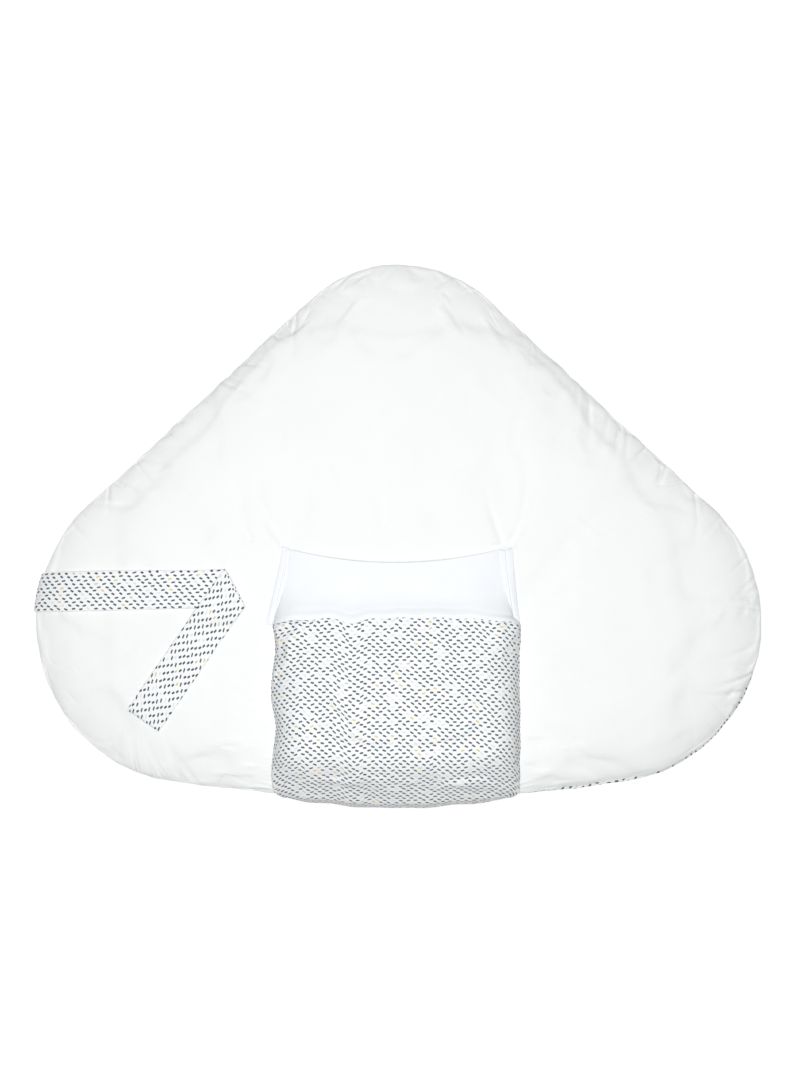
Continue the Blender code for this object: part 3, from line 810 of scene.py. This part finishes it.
pouch_rows, pouch_columns = 71, 91
pouch = pouch_grid(pouch_rows, pouch_columns)
held = np.zeros(pouch.shape[:2], bool)
held[0], held[-1], held[:, 0], held[:, -1] = True, True, True, True
pouch += eased(settle_cloth(pouch, held, pressure=3.0, spare=0.045) - pouch, 0.0025)
pouch = finer(pouch, 2 * pouch_rows - 1, 2 * pouch_columns - 1)
pouch[0, :, 1] = mouth_line(pouch[0, :, 0])

gather_random, gathers, deepest_gather = np.random.default_rng(21), 13, 0.0022
below_mouth = pouch[:1, :, 1] - pouch[..., 1]
gather_depth = np.zeros(pouch.shape[:2])
shifts = gather_random.uniform(-0.007, 0.007, gathers)
for middle in np.linspace(-0.125, 0.120, gathers) + shifts:
    lean = gather_random.uniform(-0.25, 0.25)
    width = gather_random.uniform(0.0030, 0.0055)
    reach = gather_random.uniform(0.015, 0.050)
    across = pouch[..., 0] - middle - lean * below_mouth
    away, down = across / (width * (1 + below_mouth / 0.03)), below_mouth / reach
    gather_depth += deepest_gather * np.exp(-(away**2)) * np.exp(-(down**2))
quiet = np.clip(below_mouth / 0.002, 0, 1)
pouch_normals = grid_normals(pouch)
soft = 0.0008 * ripples(pouch[..., 0], pouch[..., 1], 0.045, 11)
pouch += pouch_normals * (((soft - gather_depth) * quiet)[..., None])


def measured_uv(grid):
    """UVs in metres: the cloth's length across a grid and along it, added up from its corner."""
    across = np.linalg.norm(np.diff(grid, axis=1, prepend=grid[:, :1]), axis=-1)
    along = np.linalg.norm(np.diff(grid, axis=0, prepend=grid[:1]), axis=-1)
    return np.stack([np.cumsum(across, 1), np.cumsum(along, 0)], -1)


pouch_normals = -grid_normals(pouch)
pouch_uv = measured_uv(pouch) * (1, -1)
pouch_uv[..., 0] -= pouch_uv[:, pouch.shape[1] // 2, 0][:, None]
pouch_cover = grid_piece("pouch_cloth", pouch, pouch_uv, printed_cotton, facing=-1)
lining, quads = pouch - lining_depth * pouch_normals, grid_quads(*pouch.shape[:2])
pouch_lining = new_piece(
    "pouch_lining_cloth", lining, pouch_uv, quads, -pouch_normals, white_percale
)


def closed_layer(outer, inner):
    """A closed loop of two facing grids: over the outer one, then back along the inner one."""
    return np.concatenate([outer, inner[:, ::-1], outer[:, :1]], 1)


fluff_outer, fluff_inner = pouch - fluff_top * pouch_normals, pouch - fluff_bottom * pouch_normals
wadding_wall = closed_layer(fluff_outer, fluff_inner)[::2]
wadding_uv = closed_layer(pouch_uv, pouch_uv)[::2]
pouch_wadding = grid_piece("pouch_filling", wadding_wall, wadding_uv, wadding_fluff, facing=-1)


def fix_to_pad(piece, node):
    """Fixes a piece to the pad's middle. It stands for a CAD solid, which it hides."""
    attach(piece, "nest_base")
    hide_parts(node)


fix_to_pad(pouch_cover, "pouch_print_cover")
fix_to_pad(pouch_lining, "pouch_lining")
fix_to_pad(pouch_wadding, "pouch_wadding")


# ---- The cuff ----
# A band of white stretch jersey, doubled with its fold at the free edge. Its long side is sewn to
# the pouch's mouth, puffs a little there, and then lies taut across the pad.

cuff_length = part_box("cuff_band")[1].y - mouth_y
edge_left, edge_right = -0.136, 0.126
edge_sag, edge_rise, edge_roll = 0.017, 0.012, 0.105
seam_roll, fall_width = 0.004, 0.019
jersey_fold = 0.0011
tape_feet = {"left": -0.1590, "right": 0.1445}

white_jersey, shader, uv, u, v = new_cloth("white_jersey", 0.90, 0.10)
wale, course = u * (2 * math.pi / 0.0011), v * (2 * math.pi / 0.0009)
loops = wale.math("ABSOLUTE", wale.math("SINE", wale)) + 0.4 * course.math("SINE", course)
knit_soft = noise(uv, (60.0, 45.0), 3.0)
jersey_colour = mixed(knit_soft, (0.850, 0.872, 0.902, 1.0), (0.866, 0.886, 0.912, 1.0))
finish_cloth(shader, jersey_colour, loops * 0.12 + knit_soft * 0.5, 0.0009, 0.5)


def smooth_step(part):
    """Held between 0 and 1, with level ends: 3 part² - 2 part³."""
    part = np.clip(part, 0, 1)
    return part**2 * (3 - 2 * part)


def cuff_rows(parts):
    """Rows of the band's outside from the mouth seam, at 0, to its free edge, at 1.

    A row is an arch between its two feet. Beyond a small roll at the seam, the band goes down as
    1 / (1 + x²) from the pouch's own arch to a low wide one at its free edge."""
    seam = pouch[0]
    spread = crowded(np.linspace(-1, 1, len(seam)), mouth_crowding)
    last = 1 / (1 + ((cuff_length - seam_roll) / fall_width) ** 2)
    rows = []
    for part in parts:
        travel = part * cuff_length
        fall = 1 / (1 + (max(travel - seam_roll, 0.0) / fall_width) ** 2)
        fall = (fall - last) / (1 - last)
        left = seam[0, 0] + part * (edge_left - seam[0, 0])
        tape_x = tape_feet["right"] + part * (edge_right - tape_feet["right"])
        right = seam[-1, 0] + smooth_step(part / 0.10) * (tape_x - seam[-1, 0])
        roll = edge_roll + (side_roll - edge_roll) * fall
        x = (left + right) / 2 + (right - left) / 2 * spread
        near_side = 1 - np.clip(((right - left) / 2 - np.abs(x - (left + right) / 2)) / roll, 0, 1)
        arch = np.sqrt(1 - near_side**2)
        free_y = mouth_y + cuff_length - edge_sag * (1 - spread**2)
        y = seam[:, 1] + part * (free_y - seam[:, 1])
        low = crown_z + 0.0006 + edge_rise * arch
        z = low + (seam[:, 2] - low) * fall
        dip_at = 0.0100 + 0.0045 * (1 - spread**2) + 0.0010 * np.sin(spread * 5)
        puff = 0.0008 * np.exp(-(((travel - 0.0040) / 0.0040) ** 2))
        puff = puff - 0.0006 * np.exp(-(((travel - dip_at) / 0.0036) ** 2))
        ripple = ripples(x, y, 0.055, 15) * 0.0007 * math.sin(math.pi * part)
        rows.append(np.stack([x, y, z + (ripple + puff * min(travel / 0.001, 1.0)) * arch], -1))
    return np.array(rows)


outside = cuff_rows(np.linspace(0, 1, 90) ** 1.5)
inward = -upward(outside) * grid_normals(outside)
run_out = outside[-1] - outside[-2]
run_out /= np.linalg.norm(run_out, axis=-1, keepdims=True)
turn = np.linspace(0, math.pi, 9)[1:-1, None, None]
free_fold = outside[-1] + jersey_fold * (np.sin(turn) * run_out + (1 - np.cos(turn)) * inward[-1])
inside = (outside + 2 * jersey_fold * inward)[::-1]
band = np.concatenate([outside, free_fold, inside])
cuff_band = grid_piece("cuff_jersey", band, measured_uv(band), white_jersey)
fix_to_pad(cuff_band, "cuff_band")


# ---- The cuff's side tapes and bar tacks ----
# Each end of the cuff is bound by a folded jersey tape sewn down on the pad, from the pouch's
# corner to a bar tack: a block of close satin stitches at its top.

tape_widths = {"left": (0.0128, 0.0092), "right": (0.0112, 0.0165)}
tape_ridges = {"left": 0.0022, "right": 0.0036}
ridge_at = 0.55
tack_length, tack_width, tack_height, stitch_pitch = 0.0032, 0.0090, 0.0010, 0.0009


def tape_grid(name, foot, head):
    """A tape from foot to head, each end with its own width.

    Its section is a low bolster, with a ridge along the side where the cuff meets it. From the
    ridge a slope goes down to the outer edge."""
    along, across = np.meshgrid(np.linspace(0, 1, 60), np.linspace(-1, 1, 41), indexing="ij")
    outer = 1 if name == "right" else -1
    foot_width, head_width = tape_widths[name]
    width = foot_width + (head_width - foot_width) * along
    line = np.array(head) - np.array(foot)
    side = np.array([line[1], -line[0]]) / np.hypot(*line)
    bow = 0.0010 * np.sin(math.pi * along)
    plan = np.array(foot) + along[..., None] * line
    plan = plan + (across * width / 2 - bow * outer)[..., None] * side
    inner = 1 + across * outer
    bolster = 0.0012 * (1 - across**4) ** 0.5
    rise = np.sin(np.clip(inner / ridge_at, 0, 1) * math.pi / 2)
    slope = np.clip((2 - inner) / (2 - ridge_at), 0, 1)
    ridge = tape_ridges[name] * np.where(inner < ridge_at, rise, slope)
    line_dip = 0.0007 * np.exp(-(((inner - 0.85) / 0.10) ** 2))
    end = np.clip((1 - along) / 0.03, 0, 1) ** 0.5 * np.clip(along / 0.04, 0, 1) ** 0.5
    floor = rolled(rim_frame(plan[..., 0], plan[..., 1])[0], front_roll, rim_z, crown_z)
    floor = floor + lift_at(plan[..., 0], plan[..., 1])
    z = floor + (bolster + ridge - line_dip) * end
    uv = np.stack([across * width / 2, along * np.hypot(*line)], -1)
    return np.concatenate([plan, z[..., None]], -1), uv


def tack_grid(centre):
    """A bar tack: a closed low pillow, with a rib for each satin stitch across it.

    Its rounds go from one pole over the top to the other. Both half sizes are fourth-power rounds."""
    turns, rises = np.linspace(0, 2 * math.pi, 97), np.linspace(0, math.pi, 25)
    turn, rise = np.meshgrid(turns, rises, indexing="ij")

    def squared(value):
        return np.sign(value) * np.abs(value) ** 0.5

    x = squared(np.cos(turn)) * squared(np.sin(rise)) * tack_width / 2
    y = squared(np.sin(turn)) * squared(np.sin(rise)) * tack_length / 2
    ribs = 1 + 0.18 * np.cos(x * 2 * math.pi / stitch_pitch)
    z = tack_height * np.cos(rise) * ribs
    uv = np.stack([x, y], -1)
    return np.stack([centre.x + x, centre.y + y, centre.z + 0.0006 + z], -1), uv


tack_thread, shader, uv, u, v = new_cloth("tack_thread", 0.55, 0.15)
slant = u * 5200.0 + v * 3000.0
twist = slant.math("SINE", slant) * 0.5 + 0.5
# Painted shade and painted highlight: the thread is darker in the grooves of its twist and lighter on
# the crowns, following the same sine as the bump.
twist_shaded_thread_colour = mixed(twist, (0.80, 0.82, 0.84, 1.0), (0.87, 0.89, 0.91, 1.0))
finish_cloth(shader, twist_shaded_thread_colour, twist, 0.0002, 0.6)

for name, tack in (("left", tack_left), ("right", tack_right)):
    foot = (tape_feet[name], mouth_y - 0.006)
    head = (tack.x + 0.0015, tack.y)
    points, tape_uv = tape_grid(name, foot, head)
    tape = grid_piece(f"tape_{name}", points, tape_uv, white_jersey, upward(points))
    fix_to_pad(tape, f"side_tape_{name}")
    points, tack_uv = tack_grid(tack)
    stitches = grid_piece(f"tack_{name}", points, tack_uv, tack_thread, facing=-1)
    fix_to_pad(stitches, f"bar_tack_{name}")


# ---- The belt ----
# Two printed faces sewn edge to edge over an interlining and turned out. Its root is caught in the
# rim seam of the left wing, and its loose end is folded over once on a diagonal crease.

belt_width = 0.048
belt_thickness = 0.0034
belt_lift = 0.0004
strap_columns = 41
tail_skew = math.radians(8)
step_at, step_length, step_gap = 0.009, 0.016, 0.0008
run_heading, tail_heading = math.radians(1.0), math.radians(235.5)
run_way = np.array([math.cos(run_heading), math.sin(run_heading)])
run_across = np.array([-run_way[1], run_way[0]])
tail_way = np.array([math.cos(tail_heading), math.sin(tail_heading)])
tail_across = np.array([-tail_way[1], tail_way[0]])
crease_way = (run_way + tail_way) / np.linalg.norm(run_way + tail_way)
joint_places = {joint["name"]: joint["pos_m"] for joint in frame["joints"]}
crease_middle = np.array(joint_places["belt_tail_unfold"][:2])
tail_length = 0.1980


def belt_section(across, side):
    """Half thickness of the belt: full over its middle, shut at its sewn edges as a tenth power."""
    return side * belt_thickness / 2 * (1 - np.abs(across) ** 10) ** (1 / 2)


def run_grid(side, thin):
    """One face of the run: columns across it, rows from its root over the rim and on to the crease.

    It follows the pad's edge roll at its own lift above it: the ellipse of the roll made larger by
    the lift, measured from the left lobe's centre, then flat. Side is 1 for the upper face, -1 for
    the lower one and 0 for the interlining."""
    across = crowded(np.linspace(-1, 1, strap_columns), 1.45) * thin
    rolled_rows, flat_rows = 56, 64
    waviness = 1 + 0.03 * np.sin(np.linspace(0, 5, rolled_rows + flat_rows))[:, None]
    (lobe_x, lobe_y), radius, _, _ = arcs[2]
    start = crease_middle + across[:, None] * belt_width / 2 * run_across
    rows = []
    over_rim = np.radians(np.linspace(-4, 90, rolled_rows))
    turns = np.concatenate([over_rim, np.full(flat_rows, math.pi / 2)])
    flat = np.concatenate([np.zeros(rolled_rows), np.linspace(0, 1, flat_rows + 1)[1:]])
    half = belt_section(across, side)
    lift = belt_lift + belt_thickness / 2 + half
    crease = across * belt_width / 2 * (crease_way @ run_way) / (crease_way @ run_across)
    for turn, part, wave in zip(turns, flat, waviness):
        reach = radius - front_roll + (front_roll + lift) * math.cos(turn)
        low = (start - np.array([lobe_x, lobe_y])) @ run_across
        travel = lobe_x - np.sqrt(np.maximum(reach**2 - low**2, 0)) - start[:, 0]
        travel = travel + part * (crease - travel)
        plan = start + travel[:, None] * run_way
        plan = plan + (across * belt_width / 2 * (wave - 1) * (1 - part))[:, None] * run_across
        swell_here = lift_at(plan[:, 0], plan[:, 1]) * math.sin(turn) ** 2
        z = rim_z + (crown_z - rim_z + lift) * math.sin(turn) + np.maximum(swell_here, 0)
        rows.append(np.column_stack([plan, z]))
    return np.array(rows)


def strip_uv(points, across_way, skew):
    """UVs in metres along a strip's rows and across it, turned by the skew that its cut has."""
    along = np.cumsum(np.linalg.norm(np.diff(points, axis=0, prepend=points[:1]), axis=-1), 0)
    across = (points[..., :2] - crease_middle) @ across_way
    cosine, sine = math.cos(skew), math.sin(skew)
    return np.stack([along * cosine + across * sine, across * cosine - along * sine], -1)


def tail_grid(side, thin):
    """One face of the tail: from the crease, over the run beneath it, then down on the pad."""
    across = crowded(np.linspace(-1, 1, strap_columns), 1.45) * thin
    half = belt_section(across, side)
    start = across * belt_width / 2 * (crease_way @ tail_way) / (crease_way @ tail_across)
    end = np.full(strap_columns, tail_length) - (1 - thin) * 0.02
    part = np.linspace(0, 1, 110)[:, None]
    travel = start + (end - start) * part
    plan = crease_middle + (across * belt_width / 2)[:, None] * tail_across
    plan = plan + travel[..., None] * tail_way
    over = (plan - crease_middle) @ run_across + belt_width / 2 + step_at
    step = (belt_thickness + step_gap) * smooth_step(1 + over / step_length)
    inset = rim_frame(plan[..., 0], plan[..., 1])[0]
    z = rolled(inset, front_roll, rim_z, crown_z)
    z = z + np.maximum(lift_at(plan[..., 0], plan[..., 1]), 0)
    shut = np.clip((end - travel) / 0.0012, 0, 1) ** 0.5
    z = z + belt_lift + belt_thickness / 2 + half * shut + step
    return np.concatenate([plan, z[..., None]], -1)


interlining_felt, shader, uv, _, _ = new_cloth("interlining_felt", 0.95, 0.1)
fibres = noise(uv, (300.0, 320.0), 4.0)
felt_colour = mixed(fibres, (0.66, 0.66, 0.64, 1.0), (0.80, 0.80, 0.78, 1.0))
finish_cloth(shader, felt_colour, fibres, 0.0006, 0.6)

layers = [
    ("upper_face", 1, 1.0, printed_cotton, "print_cotton"),
    ("lower_face", -1, 1.0, printed_cotton, "print_cotton"),
    ("interlining", 0, 0.94, interlining_felt, "interlining"),
]
for layer, side, thin, material, finish in layers:
    for part, grid, across_way, skew in (
        ("run", run_grid(side, thin), run_across, 0.0),
        ("tail", tail_grid(side, thin), tail_across, tail_skew),
    ):
        strap_uv = strip_uv(grid, across_way, skew)
        facing = upward(grid) * (1 if side >= 0 else -1)
        piece = grid_piece(f"strap_{part}_{layer}", grid, strap_uv, material, facing)
        if part == "run":
            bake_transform(piece)
        else:
            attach(piece, "belt_tail")
        root = ["belt_seam_end"] if (part, layer) == ("run", "upper_face") else []
        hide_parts(f"belt_{part}_{layer}", *root)


# ---- The crease of the belt ----
# The printed face that is outermost goes round the fold here, from under the run to the top of the
# tail, as one half round of the same cloth.

turns, columns = np.linspace(-math.pi / 2, math.pi / 2, 17), np.linspace(-1, 1, strap_columns)
turn, across = np.meshgrid(turns, columns, indexing="ij")
crease_half = belt_width / 2 / (crease_way @ run_across)
crease_line = crease_middle + across[..., None] * crease_half * crease_way
crease_out = np.array([crease_way[1], -crease_way[0]])
crease_out *= np.sign(crease_out @ run_way)
low_z, high_z = run_grid(-1, 1.0)[-1, :, 2], tail_grid(1, 1.0)[0, :, 2]
fold_radius = (high_z - low_z) / 2
plan = crease_line + (0.7 * fold_radius * np.cos(turn))[..., None] * crease_out
z = (high_z + low_z) / 2 + fold_radius * np.sin(turn)
crease_grid = np.concatenate([plan, z[..., None]], -1)
middle_normal = grid_normals(crease_grid)[len(turns) // 2, strap_columns // 2]
facing = int(np.sign(middle_normal[:2] @ crease_out))
crease_uv = np.stack([turn * 0.003, across * belt_width / 2], -1)
belt_crease = grid_piece("strap_crease", crease_grid, crease_uv, printed_cotton, facing)
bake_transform(belt_crease)
